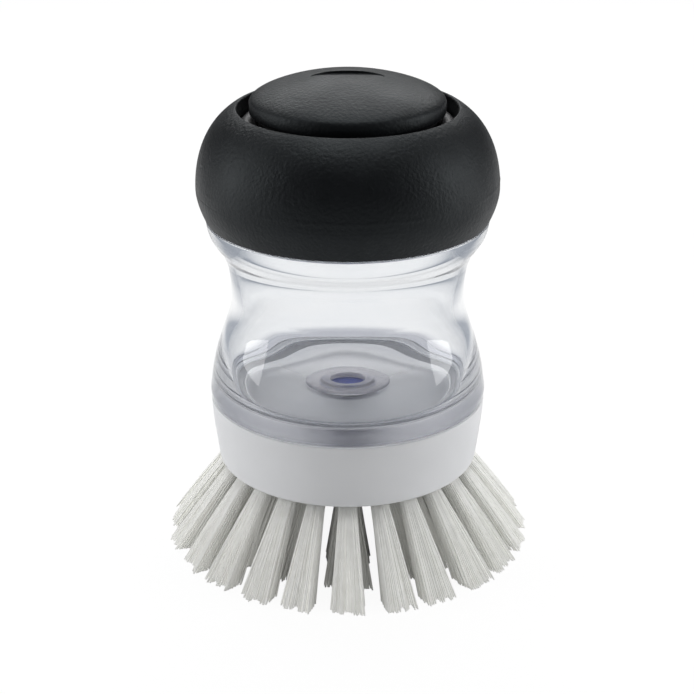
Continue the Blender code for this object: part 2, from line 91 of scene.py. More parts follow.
def softened(outline, closed=True):
    """Rounds each corner of an outline that has a third value, its edge radius."""
    steps = 4
    points = []
    count = len(outline)
    for i, corner in enumerate(outline):
        if len(corner) == 2 or (not closed and i in (0, count - 1)):
            points.append(corner[:2])
            continue
        here = Vector(corner[:2])
        before = Vector(outline[i - 1][:2]) - here
        after = Vector(outline[(i + 1) % count][:2]) - here
        reach = min(corner[2], before.length * 0.45, after.length * 0.45)
        a = here + before.normalized() * reach
        b = here + after.normalized() * reach
        for k in range(steps + 1):
            t = k / steps
            p = a * (1 - t) ** 2 + here * 2 * t * (1 - t) + b * t ** 2
            points.append((p.x, p.y))
    return points


def plain(obj, crease=38):
    """Makes an object's modifiers part of its mesh, shaded smooth with its edges kept sharp.

    Points that lie on each other are merged, and the faces are turned to point outwards.
    """
    bpy.context.view_layer.update()
    graph = bpy.context.evaluated_depsgraph_get()
    mesh = bpy.data.meshes.new_from_object(obj.evaluated_get(graph))
    mesh.name = obj.name
    obj.modifiers.clear()
    obj.data = mesh
    skin = bmesh.new()
    skin.from_mesh(mesh)
    bmesh.ops.remove_doubles(skin, verts=skin.verts, dist=same_point)
    bmesh.ops.recalc_face_normals(skin, faces=skin.faces)
    skin.to_mesh(mesh)
    skin.free()
    mesh.shade_smooth()
    mesh.set_sharp_from_angle(angle=math.radians(crease))
    return obj


def turned(name, outline, closed=True, steps=around):
    """A round piece: the outline runs down its outer side and back up its inner side."""
    mesh = bpy.data.meshes.new(name)
    edges = [(i, i + 1) for i in range(len(outline) - 1)]
    if closed:
        edges.append((len(outline) - 1, 0))
    mesh.from_pydata([(r, 0, z) for r, z in outline], edges, [])
    obj = bpy.data.objects.new(name, mesh)
    bpy.context.scene.collection.objects.link(obj)
    screw = obj.modifiers.new("turn", "SCREW")
    screw.steps = steps
    screw.render_steps = steps
    screw.use_merge_vertices = True
    screw.merge_threshold = seam_within
    return plain(obj)


def carve(obj, cutter):
    """Cuts one mesh by another, which is then thrown away."""
    boolean = obj.modifiers.new("carve", "BOOLEAN")
    boolean.operation = "DIFFERENCE"
    boolean.solver = "EXACT"
    boolean.object = cutter
    plain(obj)
    bpy.data.objects.remove(cutter, do_unlink=True)


def mesh_object(name, data):
    """An object from mesh data, which is used up."""
    mesh = bpy.data.meshes.new(name)
    data.to_mesh(mesh)
    data.free()
    obj = bpy.data.objects.new(name, mesh)
    bpy.context.scene.collection.objects.link(obj)
    return obj


def finish(name, roughness, **sockets):
    """A new finish, with the values that are the same all over set on the shader itself."""
    material = bpy.data.materials.new(name)
    material.use_nodes = True
    shader = material.node_tree.nodes["Principled BSDF"]
    shader.inputs["Roughness"].default_value = roughness
    for socket, value in sockets.items():
        shader.inputs[socket.replace("_", " ")].default_value = value
    return material


def add_node(tree, kind, **inputs):
    """A new node with these values on its inputs."""
    made = tree.nodes.new(kind)
    for socket, value in inputs.items():
        made.inputs[socket.replace("_", " ")].default_value = value
    return made


def noise_on(tree, scale, detail=3.0, stretch=(1, 1, 1)):
    """A noise pattern fixed to the piece, with features 1/scale metres across."""
    place = tree.nodes.new("ShaderNodeTexCoord")
    mapping = add_node(tree, "ShaderNodeMapping", Scale=stretch)
    noise = add_node(tree, "ShaderNodeTexNoise", Scale=scale, Detail=detail)
    tree.links.new(place.outputs["Object"], mapping.inputs["Vector"])
    tree.links.new(mapping.outputs["Vector"], noise.inputs["Vector"])
    return noise


def mottled(material, dark, light, scale, detail=3.0, stretch=(1, 1, 1)):
    """Base colour that drifts between two near shades."""
    tree = material.node_tree
    noise = noise_on(tree, scale, detail, stretch)
    ramp = tree.nodes.new("ShaderNodeValToRGB")
    ramp.color_ramp.elements[0].position = 0.35
    ramp.color_ramp.elements[0].color = (*dark, 1)
    ramp.color_ramp.elements[1].position = 0.65
    ramp.color_ramp.elements[1].color = (*light, 1)
    tree.links.new(noise.outputs["Fac"], ramp.inputs["Fac"])
    tree.links.new(ramp.outputs["Color"], tree.nodes["Principled BSDF"].inputs["Base Color"])
    return ramp


def grained(material, scale, depth, strength=1.0, detail=3.0):
    """A fine relief on the surface, depth metres deep."""
    tree = material.node_tree
    noise = noise_on(tree, scale, detail)
    bump = add_node(tree, "ShaderNodeBump", Strength=strength, Distance=depth)
    tree.links.new(noise.outputs["Fac"], bump.inputs["Height"])
    tree.links.new(bump.outputs["Normal"], tree.nodes["Principled BSDF"].inputs["Normal"])


def ranged(tree, value, from_range, to_range=(0.0, 1.0)):
    """A value that is moved from one range to another and stays inside it."""
    spread = add_node(tree, "ShaderNodeMapRange", From_Min=from_range[0], From_Max=from_range[1],
                      To_Min=to_range[0], To_Max=to_range[1])
    tree.links.new(value, spread.inputs["Value"])
    return spread.outputs["Result"]


def worn(material, low, high, scale):
    """Roughness that varies a little from place to place."""
    tree = material.node_tree
    noise = noise_on(tree, scale, 4.0)
    rough = ranged(tree, noise.outputs["Fac"], (0.3, 0.7), (low, high))
    tree.links.new(rough, tree.nodes["Principled BSDF"].inputs["Roughness"])


def dress(obj, material, body, slot, *nodes):
    """Gives a finished piece its material and body, and hides the solids it stands for. The slot is not
    used.
    """
    obj.data.materials.clear()
    obj.data.materials.append(material)
    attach(obj, body)
    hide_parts(*nodes)


head_outline = [(head_bore, head_rim[1], soft_edge), (*head_rim, soft_edge)]
head_outline += swept_curve(head_rim, *head_flare, head_edge, 24)[1:]
for step in range(1, 9):
    turn = math.radians(-90 * step / 8)
    head_outline.append((head_edge[0] - plate_round + plate_round * math.cos(turn),
                         head_edge[1] + plate_round * math.sin(turn)))
head_outline += swept_curve((head_edge[0] - plate_round, head_edge[1] - plate_round),
                            (head_edge[0] / 2, plate_middle), (duct_boss[0], plate_middle),
                            (duct_radius, plate_middle), 16)[1:-1]
head_outline += [(duct_radius, plate_middle, soft_edge), (duct_radius, duct_boss[1], soft_edge),
                 (*duct_boss, soft_edge), (duct_boss[0], plate_top, soft_edge),
                 (head_bore, plate_top, soft_edge)]
head = turned("head_cup", softened(head_outline))

holes = bmesh.new()
for count, root_radius, root_level, tip_radius in (outer_ring, middle_ring, inner_ring):
    tilt = math.atan2(tip_radius - root_radius, root_level)
    for i in range(count):
        drill = bmesh.ops.create_cone(holes, cap_ends=True, segments=20, radius1=hole_radius,
                                      radius2=hole_radius, depth=2 * hole_depth)["verts"]
        place = (Matrix.Rotation(first_tuft + math.tau * i / count, 4, "Z")
                 @ Matrix.Translation((root_radius, 0, root_level)) @ Matrix.Rotation(-tilt, 4, "Y"))
        bmesh.ops.transform(holes, matrix=place, verts=drill)
carve(head, mesh_object("tuft_drills", holes))

white_plastic = finish("white_head_plastic", 0.38)
mottled(white_plastic, (0.80, 0.81, 0.83), (0.83, 0.84, 0.86), 60, detail=2)
grained(white_plastic, 1800, 0.00002, strength=0.35)
worn(white_plastic, 0.33, 0.44, 140)
dress(head, white_plastic, "head", "white_head", "brush_head")

# Bristles
# Nylon filaments, folded over a staple and driven into each hole. They leave the hole as a
# round bundle and fan out into a flat sheet with faint folds. Their ends are trimmed in steps.
filament_radius = 0.19 * MM
bundle_radius = 1.8 * MM
bundle_sunk = 2.0 * MM
tip_inset = 0.62 * MM
fold_height = 0.25 * MM
trim_height = 0.9 * MM
nylon_light_passed = 0.88

# How far filaments stray: across and through the bundle (as shares of it), the whole tuft's tip (as
# an angle), the tuft's width (as a factor), and each filament's tip and bow
column_scatter = 0.04
row_scatter = 0.08
tip_sway = 0.03
width_range = (0.88, 1.14)
tip_scatter = 0.1 * MM
bow_sideways = 0.1 * MM
bow_outwards = 0.4 * MM

# Folds and trimmed steps across a tuft
fold_angle = 4.6
trim_steps = 3.4
kept_vectors = ("root", "tip", "bow", "out", "side", "keep")


def socket_in(tree, name, kind, value):
    """Gives a node group a named input."""
    tree.interface.new_socket(name, in_out="INPUT", socket_type=kind).default_value = value


def feed(tree, target, value):
    """Puts a number or another node's output on an input."""
    if isinstance(value, (int, float, tuple)):
        target.default_value = value
    else:
        tree.links.new(value, target)


def math_node(tree, operation, *values):
    made = tree.nodes.new("ShaderNodeMath")
    made.operation = operation
    for i, value in enumerate(values):
        feed(tree, made.inputs[i], value)
    return made.outputs[0]


def vector_node(tree, operation, *values):
    made = tree.nodes.new("ShaderNodeVectorMath")
    made.operation = operation
    for i, value in enumerate(values):
        feed(tree, made.inputs["Scale"] if operation == "SCALE" and i == 1 else made.inputs[i], value)
    return made.outputs["Value" if operation == "LENGTH" else "Vector"]


def combined(tree, x, y, z):
    made = tree.nodes.new("ShaderNodeCombineXYZ")
    for i, value in enumerate((x, y, z)):
        feed(tree, made.inputs[i], value)
    return made.outputs[0]


def random_between(tree, low, high, seed, number=None):
    """A random value with a fixed seed, the same for all that share a number."""
    made = tree.nodes.new("FunctionNodeRandomValue")
    made.data_type = "FLOAT"
    made.inputs[2].default_value = low
    made.inputs[3].default_value = high
    made.inputs["Seed"].default_value = seed
    if number is not None:
        tree.links.new(number, made.inputs["ID"])
    return made.outputs[1]


def stored(tree, geometry, name, value):
    """Geometry with a vector kept on it under a name."""
    made = tree.nodes.new("GeometryNodeStoreNamedAttribute")
    made.data_type = "FLOAT_VECTOR"
    made.inputs["Name"].default_value = name
    tree.links.new(geometry, made.inputs["Geometry"])
    tree.links.new(value, made.inputs["Value"])
    return made.outputs[0]


def recalled(tree, name):
    """The vector that was kept under a name."""
    made = tree.nodes.new("GeometryNodeInputNamedAttribute")
    made.data_type = "FLOAT_VECTOR"
    made.inputs["Name"].default_value = name
    return made.outputs["Attribute"]


def directions(tree, angle):
    """Away from the brush's axis at this angle, and at right angles to that."""
    east = math_node(tree, "COSINE", angle)
    north = math_node(tree, "SINE", angle)
    south = math_node(tree, "MULTIPLY", north, -1.0)
    return combined(tree, east, north, 0.0), combined(tree, south, east, 0.0)


def bristle_tree():
    """Nodes that fan a ring of tufts, one unit filament for each bristle."""
    tree = bpy.data.node_groups.new("bristle_ring", "GeometryNodeTree")
    tree.interface.new_socket("Geometry", in_out="OUTPUT", socket_type="NodeSocketGeometry")
    for name in ("Tufts", "Columns", "Rows"):
        socket_in(tree, name, "NodeSocketInt", 10)
    for name in ("Root Radius", "Root Level", "Tip Radius", "Half Width", "Half Depth", "Fold", "Trim",
                 "Tilt", "Bundle Radius", "Bundle Sunk", "Thickness"):
        socket_in(tree, name, "NodeSocketFloat", 0.001)
    tree.interface.new_socket("Finish", in_out="INPUT", socket_type="NodeSocketMaterial")
    given = tree.nodes.new("NodeGroupInput").outputs
    points = tree.nodes.new("GeometryNodePoints")
    filaments = math_node(tree, "MULTIPLY", given["Columns"], given["Rows"])
    tree.links.new(math_node(tree, "MULTIPLY", given["Tufts"], filaments), points.inputs["Count"])
    index = tree.nodes.new("GeometryNodeInputIndex").outputs[0]
    tuft = math_node(tree, "DIVIDE", math_node(tree, "ADD", index, 0.5), filaments)
    tuft = math_node(tree, "FLOOR", tuft)
    inside = math_node(tree, "SUBTRACT", index, math_node(tree, "MULTIPLY", tuft, filaments))
    row = math_node(tree, "DIVIDE", math_node(tree, "ADD", inside, 0.5), given["Columns"])
    row = math_node(tree, "FLOOR", row)
    column = math_node(tree, "SUBTRACT", inside, math_node(tree, "MULTIPLY", row, given["Columns"]))

    # Place in the bundle, from -1 to 1 across the fan and through it; odd rows sit between even ones
    stagger = math_node(tree, "MULTIPLY", math_node(tree, "MODULO", row, 2.0), 0.5)
    across = math_node(tree, "ADD", math_node(tree, "ADD", column, stagger), 0.25)
    across = math_node(tree, "DIVIDE", across, given["Columns"])
    across = math_node(tree, "MULTIPLY_ADD", across, 2.0, -1.0)
    across = math_node(tree, "ADD", across, random_between(tree, -column_scatter, column_scatter, 3))
    deep = math_node(tree, "DIVIDE", math_node(tree, "ADD", row, 0.5), given["Rows"])
    deep = math_node(tree, "MULTIPLY_ADD", deep, 2.0, -1.0)
    deep = math_node(tree, "ADD", deep, random_between(tree, -row_scatter, row_scatter, 4))

    # Directions of the tuft at its root and, swayed a little, at its tip
    step = math_node(tree, "DIVIDE", math.tau, given["Tufts"])
    angle = math_node(tree, "MULTIPLY_ADD", tuft, step, first_tuft)
    tip_angle = math_node(tree, "ADD", angle, random_between(tree, -tip_sway, tip_sway, 5, tuft))
    outward, sideways = directions(tree, angle)
    tip_outward, tip_sideways = directions(tree, tip_angle)

    # Root: the square of columns and rows drawn in to a disc, sunk along the tuft's own line
    squared = math_node(tree, "MULTIPLY", deep, deep)
    disc_across = math_node(tree, "MULTIPLY", across,
                            math_node(tree, "SQRT", math_node(tree, "MULTIPLY_ADD", squared, -0.5, 1.0)))
    squared = math_node(tree, "MULTIPLY", across, across)
    disc_deep = math_node(tree, "MULTIPLY", deep,
                          math_node(tree, "SQRT", math_node(tree, "MULTIPLY_ADD", squared, -0.5, 1.0)))
    root_out = math_node(tree, "MULTIPLY_ADD", disc_deep, given["Bundle Radius"], given["Root Radius"])
    sunk_in = math_node(tree, "MULTIPLY", given["Bundle Sunk"], math_node(tree, "SINE", given["Tilt"]))
    root_out = math_node(tree, "SUBTRACT", root_out, sunk_in)
    root_up = math_node(tree, "MULTIPLY_ADD", given["Bundle Sunk"], math_node(tree, "COSINE", given["Tilt"]),
                        given["Root Level"])
    root_side = math_node(tree, "MULTIPLY", disc_across, given["Bundle Radius"])
    root = vector_node(tree, "ADD", vector_node(tree, "SCALE", outward, root_out),
                       vector_node(tree, "SCALE", sideways, root_side))
    root = vector_node(tree, "ADD", root, combined(tree, 0.0, 0.0, root_up))

    # Tip: spread into a sheet that folds lightly to and fro
    phase = math_node(tree, "MULTIPLY_ADD", across, fold_angle, random_between(tree, 0.0, 6.3, 8, tuft))
    fold = math_node(tree, "MULTIPLY", math_node(tree, "SINE", phase), given["Fold"])
    tip_out = math_node(tree, "MULTIPLY_ADD", deep, given["Half Depth"], given["Tip Radius"])
    tip_out = math_node(tree, "ADD", tip_out, fold)
    tip_side = math_node(tree, "MULTIPLY", given["Half Width"], random_between(tree, *width_range, 11, tuft))
    tip_side = math_node(tree, "MULTIPLY_ADD", across, tip_side,
                         random_between(tree, -tip_scatter, tip_scatter, 12))
    tip = vector_node(tree, "ADD", vector_node(tree, "SCALE", tip_outward, tip_out),
                      vector_node(tree, "SCALE", tip_sideways, tip_side))

    # Trim: how much of its length each filament keeps, the same for a few columns together
    wander = math_node(tree, "MULTIPLY_ADD", across, trim_steps, random_between(tree, 0.0, 1.0, 20, tuft))
    group = math_node(tree, "MULTIPLY_ADD", tuft, 11.0, math_node(tree, "FLOOR", wander))
    short = math_node(tree, "ADD", random_between(tree, -0.5, 1.0, 21, group),
                      random_between(tree, -0.05, 0.05, 22))
    raised = math_node(tree, "MULTIPLY", math_node(tree, "MAXIMUM", short, 0.0), given["Trim"])
    kept = math_node(tree, "SUBTRACT", 1.0, math_node(tree, "DIVIDE", raised, given["Root Level"]))
    keep = combined(tree, kept, 0.0, 0.0)
    bow_out = vector_node(tree, "SCALE", outward, random_between(tree, 0.0, bow_outwards, 31))
    bow_side = vector_node(tree, "SCALE", sideways, random_between(tree, -bow_sideways, bow_sideways, 32))
    bow = vector_node(tree, "ADD", bow_out, bow_side)

    # One filament a point, bent to its place once it is a mesh of its own
    cloud = points.outputs[0]
    for name, value in zip(kept_vectors, (root, tip, bow, outward, sideways, keep)):
        cloud = stored(tree, cloud, name, value)
    filament = add_node(tree, "GeometryNodeMeshCylinder", Vertices=5, Side_Segments=3, Radius=1.0, Depth=1.0)
    placed = tree.nodes.new("GeometryNodeInstanceOnPoints")
    tree.links.new(cloud, placed.inputs["Points"])
    tree.links.new(filament.outputs["Mesh"], placed.inputs["Instance"])
    real = tree.nodes.new("GeometryNodeRealizeInstances")
    tree.links.new(placed.outputs[0], real.inputs[0])
    position = tree.nodes.new("GeometryNodeInputPosition").outputs[0]
    parts = tree.nodes.new("ShaderNodeSeparateXYZ")
    tree.links.new(position, parts.inputs[0])
    share = tree.nodes.new("ShaderNodeSeparateXYZ")
    tree.links.new(recalled(tree, "keep"), share.inputs[0])
    along = math_node(tree, "MULTIPLY", math_node(tree, "SUBTRACT", 0.5, parts.outputs[2]), share.outputs[0])
    centre = tree.nodes.new("ShaderNodeMix")
    centre.data_type = "VECTOR"
    tree.links.new(along, centre.inputs[0])
    tree.links.new(recalled(tree, "root"), centre.inputs[4])
    tree.links.new(recalled(tree, "tip"), centre.inputs[5])
    arch = math_node(tree, "MULTIPLY", math_node(tree, "MULTIPLY", along, 4.0),
                     math_node(tree, "SUBTRACT", 1.0, along))
    where = vector_node(tree, "ADD", centre.outputs[1],
                        vector_node(tree, "SCALE", recalled(tree, "bow"), arch))
    thick = math_node(tree, "MULTIPLY", parts.outputs[0], given["Thickness"])
    wide = math_node(tree, "MULTIPLY", parts.outputs[1], given["Thickness"])
    where = vector_node(tree, "ADD", where, vector_node(tree, "SCALE", recalled(tree, "out"), thick))
    where = vector_node(tree, "ADD", where, vector_node(tree, "SCALE", recalled(tree, "side"), wide))
    moved = tree.nodes.new("GeometryNodeSetPosition")
    tree.links.new(real.outputs[0], moved.inputs["Geometry"])
    tree.links.new(where, moved.inputs["Position"])
    coated = tree.nodes.new("GeometryNodeSetMaterial")
    tree.links.new(moved.outputs[0], coated.inputs["Geometry"])
    tree.links.new(given["Finish"], coated.inputs["Material"])
    end = tree.nodes.new("NodeGroupOutput")
    tree.links.new(coated.outputs[0], end.inputs[0])
    return tree


def grown(name, tree, values):
    """A plain mesh made by a node tree with these inputs."""
    obj = bpy.data.objects.new(name, bpy.data.meshes.new(name))
    bpy.context.scene.collection.objects.link(obj)
    growth = obj.modifiers.new("growth", "NODES")
    growth.node_group = tree
    for item in tree.interface.items_tree:
        if item.item_type == "SOCKET" and item.in_out == "INPUT" and item.name in values:
            growth[item.identifier] = values[item.name]
    plain(obj, crease=60)
    for extra in kept_vectors:
        if extra in obj.data.attributes:
            obj.data.attributes.remove(obj.data.attributes[extra])
    return obj


def lets_light_through(material, share):
    """The share of lamp light that passes each surface of a clear or thin piece."""
    tree = material.node_tree
    ray = tree.nodes.new("ShaderNodeLightPath")
    kept = math_node(tree, "MULTIPLY_ADD", ray.outputs["Is Shadow Ray"], -share, 1.0)
    tree.links.new(kept, tree.nodes["Principled BSDF"].inputs["Alpha"])


nylon = finish("bristle_nylon", 0.55)
mottled(nylon, (0.91, 0.91, 0.88), (0.96, 0.96, 0.935), 900, detail=2, stretch=(1, 1, 0.12))
lets_light_through(nylon, nylon_light_passed)
bristle_ring = bristle_tree()

# Each ring: its tufts, columns and rows of filaments in a tuft, half width and half depth at the tips
for ring_name, ring, columns, rows, half_width, half_depth in (
        ("outer", outer_ring, 18, 10, 3.3 * MM, 2.4 * MM),
        ("middle", middle_ring, 22, 10, 4.9 * MM, 2.6 * MM),
        ("inner", inner_ring, 20, 10, 4.6 * MM, 2.8 * MM)):
    count, root_radius, root_level, tip_radius = ring
    bristles = grown(f"bristles_{ring_name}", bristle_ring, {
        "Tufts": count, "Columns": columns, "Rows": rows,
        "Root Radius": root_radius, "Root Level": root_level, "Tip Radius": tip_radius - tip_inset,
        "Half Width": half_width, "Half Depth": half_depth, "Fold": fold_height, "Trim": trim_height,
        "Tilt": math.atan2(tip_radius - root_radius, root_level),
        "Bundle Radius": bundle_radius - filament_radius, "Bundle Sunk": bundle_sunk,
        "Thickness": filament_radius, "Finish": nylon})
    dress(bristles, nylon, "head", "bristle", *(f"tuft_{ring_name}_{i + 1:02d}" for i in range(count)))

# Head seal
# A soft ring on the boss of the head, pressed to the tank's floor round the valve.
seal_low, seal_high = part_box("head_seal")
seal_bore = 4.3 * MM
seal_edge = 0.3 * MM
head_seal = turned("head_seal_ring", softened([
    (seal_high.x, seal_high.z, seal_edge), (seal_high.x, seal_low.z, seal_edge),
    (seal_bore, seal_low.z, seal_edge), (seal_bore, seal_high.z, seal_edge)]))
seal_rubber = finish("seal_rubber", 0.55)
mottled(seal_rubber, (0.45, 0.45, 0.46), (0.54, 0.54, 0.55), 400)
grained(seal_rubber, 3000, 0.00001, strength=0.4)
dress(head_seal, seal_rubber, "head_ring", "seal", "head_seal")

# Tank
# Clear moulded body: a waisted wall on a heavy base with a dished floor, a spigot below for the
# head and a threaded neck above for the cap. The floor is welded in, so the whole looks as one.
tank_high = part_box("reservoir")[1]
neck_outer = 25.6 * MM
neck_inner = 23.5 * MM
shoulder = (29.85 * MM, 73.6 * MM)
waist = (24.82 * MM, 56.1 * MM)
waist_inner = 22.3 * MM
flange_top = (29.6 * MM, 36.5 * MM)
flange = (29.85 * MM, 35.2 * MM)
skirt = (29.7 * MM, 33.5 * MM)
spigot = (26.4 * MM, 24.3 * MM)
spigot_inner = 24.4 * MM
floor_low = 32.4 * MM
floor_top = 34.8 * MM
outlet = 4.3 * MM
seat = (6.2 * MM, 33.7 * MM)
floor_rim = 19.5 * MM
belly = (26.2 * MM, 38.6 * MM)
clear_edge = 0.5 * MM

# The thread: its lowest and highest level and its height, then the shape of its ridge
neck_thread = (75.6 * MM, 84.6 * MM, 0.40 * MM)
thread_pitch = 4.0 * MM
thread_steps = 54
ridge_half_width = 0.17
ridge_flat = 1.6
thread_run_out = 0.8 * MM
on_wall = 0.02 * MM


def threaded_wall(radius, first, last):
    """Points up or down a wall, close enough to carry a screw thread."""
    return [(radius, first + (last - first) * i / thread_steps) for i in range(thread_steps + 1)]


tank_outline = [(neck_outer, tank_high.z, clear_edge)]
tank_outline += threaded_wall(neck_outer, neck_thread[1], neck_thread[0])
tank_outline += [(neck_outer, shoulder[1], 0.3 * MM), (*shoulder, 0.3 * MM)]
tank_outline += swept_curve(shoulder, (29.39 * MM, 66.69 * MM), (waist[0], 69.71 * MM), waist, 28, False)[1:]
tank_outline += swept_curve(waist, (waist[0], 51.25 * MM), (28.65 * MM, 45.75 * MM), flange_top, 28)
tank_outline += [(*flange, 0.6 * MM), (*skirt, 0.25 * MM), (spigot[0], skirt[1], 0.3 * MM),
                 (*spigot, clear_edge), (spigot_inner, spigot[1], clear_edge),
                 (spigot_inner, floor_low, 0.8 * MM), (outlet, floor_low, 0.3 * MM),
                 (outlet, seat[1], 0.2 * MM), (*seat, 0.2 * MM), (seat[0], floor_top, 0.2 * MM)]
tank_outline += swept_curve((floor_rim, floor_top), (floor_rim + 4.0 * MM, floor_top),
                            (belly[0], belly[1] - 2.4 * MM), belly, 14)
tank_outline += swept_curve(belly, (belly[0], 47.2 * MM), (waist_inner, 49.05 * MM),
                            (waist_inner, waist[1]), 24)[1:]
tank_outline += swept_curve((waist_inner, waist[1]), (waist_inner, 69.71 * MM), (neck_inner, 69.71 * MM),
                            (neck_inner, shoulder[1]), 16)[1:]
tank_outline += [(neck_inner, tank_high.z, clear_edge)]
tank = turned("tank_shell", softened(tank_outline), steps=240)


def cut_thread(obj, radius, low, high, height, start=0.0):
    """Raises a screw thread on a round wall: outwards with a height above 0, inwards below."""
    for point in obj.data.vertices:
        r = math.hypot(point.co.x, point.co.y)
        if abs(r - radius) > on_wall or not low < point.co.z < high:
            continue
        turns = math.atan2(point.co.y, point.co.x) / math.tau
        phase = ((point.co.z - start) / thread_pitch - turns) % 1.0
        ridge = max(0.0, 1.0 - abs(phase - 0.5) / ridge_half_width)
        ends = min(1.0, (point.co.z - low) / thread_run_out, (high - point.co.z) / thread_run_out)
        grow = 1.0 + height * min(1.0, ridge * ridge_flat) * ends / r
        point.co.x *= grow
        point.co.y *= grow


cut_thread(tank, neck_outer, *neck_thread)

clear_plastic = finish("clear_tank_plastic", 0.0, IOR=1.55, Transmission_Weight=1.0)
clear_tint = mottled(clear_plastic, (0.955, 0.965, 0.975), (0.975, 0.98, 0.985), 90, detail=2)
grained(clear_plastic, 130, 0.00004, strength=0.35, detail=1)

# The underside of the rim is frosted and greyer. The heavy base gets painted shade, a deeper grey than the
# thin wall over it, because clear plastic alone comes out paler there than in the photograph.
tank_light_passed = 0.85
frost_levels = (skirt[1] + 0.2 * MM, skirt[1] + 0.5 * MM)
frost_roughness = 0.30
frost_greying = 3.0
frost_colour = (0.82, 0.82, 0.85, 1)
base_radii = (24.0 * MM, 25.5 * MM)
base_levels = (37.0 * MM, 39.0 * MM)
base_painted_shade = (0.54, 0.55, 0.60, 1)


def blended(tree, share, one, two):
    """A colour between two others; the share is that of the second."""
    made = add_node(tree, "ShaderNodeMixRGB")
    for i, value in enumerate((share, one, two)):
        feed(tree, made.inputs[i], value)
    return made.outputs[0]


clear_tree = clear_plastic.node_tree
clear_shader = clear_tree.nodes["Principled BSDF"]
spot = add_node(clear_tree, "ShaderNodeTexCoord").outputs["Object"]
levels = add_node(clear_tree, "ShaderNodeSeparateXYZ")
clear_tree.links.new(spot, levels.inputs[0])
frost = ranged(clear_tree, levels.outputs["Z"], frost_levels, (frost_roughness, 0.0))
clear_tree.links.new(frost, clear_shader.inputs["Roughness"])
greyed = math_node(clear_tree, "MULTIPLY", frost, frost_greying)
tint = blended(clear_tree, greyed, clear_tint.outputs["Color"], frost_colour)
# Painted shade: the outer, lower part of the heavy base is mixed towards a deeper grey.
flat = vector_node(clear_tree, "MULTIPLY", spot, (1.0, 1.0, 0.0))
far_out = ranged(clear_tree, vector_node(clear_tree, "LENGTH", flat), base_radii)
low_down = ranged(clear_tree, levels.outputs["Z"], base_levels, (1.0, 0.0))
tint = blended(clear_tree, math_node(clear_tree, "MULTIPLY", far_out, low_down), tint, base_painted_shade)
clear_tree.links.new(tint, clear_shader.inputs["Base Color"])
lets_light_through(clear_plastic, tank_light_passed)
dress(tank, clear_plastic, "reservoir", "clear_body", "reservoir", "reservoir_base")

# Valve
# A blue silicone slit valve. Its flange sits in the floor's counterbore, its crown shows above.
valve_low, valve_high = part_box("valve")
crown_radius = 3.5 * MM
crown_level = 35.2 * MM
valve_flange = 5.9 * MM
valve_skirt = 4.0 * MM
valve_bore = 2.8 * MM
flange_bottom = seat[1] + 0.3 * MM
crown_inside = crown_level - 0.9 * MM
slit_width = 0.14 * MM
slit_length = 4.2 * MM
slit_depth = 0.5 * MM
slit_heading = 40
valve_outline = swept_curve((0, valve_high.z), (crown_radius / 2, valve_high.z),
                            (crown_radius - 0.4 * MM, crown_level),
                            (crown_radius - 0.2 * MM, crown_level - 0.2 * MM), 10)
valve_outline += [(crown_radius, crown_level - 0.3 * MM), (crown_radius, floor_top, 0.1 * MM),
                  (valve_flange, floor_top, 0.2 * MM), (valve_flange, flange_bottom, 0.2 * MM),
                  (valve_skirt, flange_bottom, 0.2 * MM), (valve_skirt, valve_low.z, 0.3 * MM),
                  (valve_bore, valve_low.z, 0.3 * MM), (valve_bore, crown_inside, 0.3 * MM),
                  (0, crown_inside)]
valve = turned("slit_valve", softened(valve_outline, closed=False), closed=False, steps=96)
for side in range(2):
    blade = bmesh.new()
    bmesh.ops.create_cube(blade, size=1.0)
    bmesh.ops.scale(blade, vec=(slit_length, slit_width, slit_depth), verts=blade.verts)
    bmesh.ops.rotate(blade, matrix=Matrix.Rotation(math.radians(slit_heading + 90 * side), 3, "Z"),
                     verts=blade.verts)
    bmesh.ops.translate(blade, vec=(0, 0, valve_high.z), verts=blade.verts)
    carve(valve, mesh_object("slit_blade", blade))
blue_silicone = finish("blue_silicone", 0.42, Coat_Weight=0.1)
mottled(blue_silicone, (0.022, 0.045, 0.30), (0.035, 0.065, 0.40), 700)
grained(blue_silicone, 4000, 0.00001, strength=0.4)
dress(valve, blue_silicone, "reservoir", "blue_valve", "valve")

# Valve ring
# A clear washer that clips over the valve; its collar stands round the crown.
ring_low, ring_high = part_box("valve_retainer")
collar_radius = 5.9 * MM
ring_bore = 3.8 * MM
ring_shelf = 35.8 * MM
valve_ring = turned("valve_clip_ring", softened([
    (collar_radius - 0.3 * MM, ring_high.z, 0.25 * MM), (collar_radius, ring_shelf, 0.2 * MM),
    (ring_high.x, ring_shelf, 0.35 * MM), (ring_high.x, ring_low.z, 0.15 * MM),
    (ring_bore, ring_low.z, 0.15 * MM), (ring_bore, ring_high.z, 0.25 * MM)]))
clip_plastic = finish("clip_plastic", 0.12, IOR=1.5, Transmission_Weight=0.75)
mottled(clip_plastic, (0.72, 0.71, 0.76), (0.82, 0.80, 0.84), 500)
grained(clip_plastic, 900, 0.00002, strength=0.4)
dress(valve_ring, clip_plastic, "reservoir", "clear_ring", "valve_retainer")

# Cap gasket
# A flat ring of seal rubber on the mouth of the neck.
gasket_low, gasket_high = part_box("cap_gasket")
gasket = turned("neck_gasket", softened([
    (gasket_high.x, gasket_high.z, 0.25 * MM), (gasket_high.x, gasket_low.z, 0.25 * MM),
    (neck_inner, gasket_low.z, 0.25 * MM), (neck_inner, gasket_high.z, 0.25 * MM)]))
dress(gasket, seal_rubber, "cap_seal", "seal", "cap_gasket")

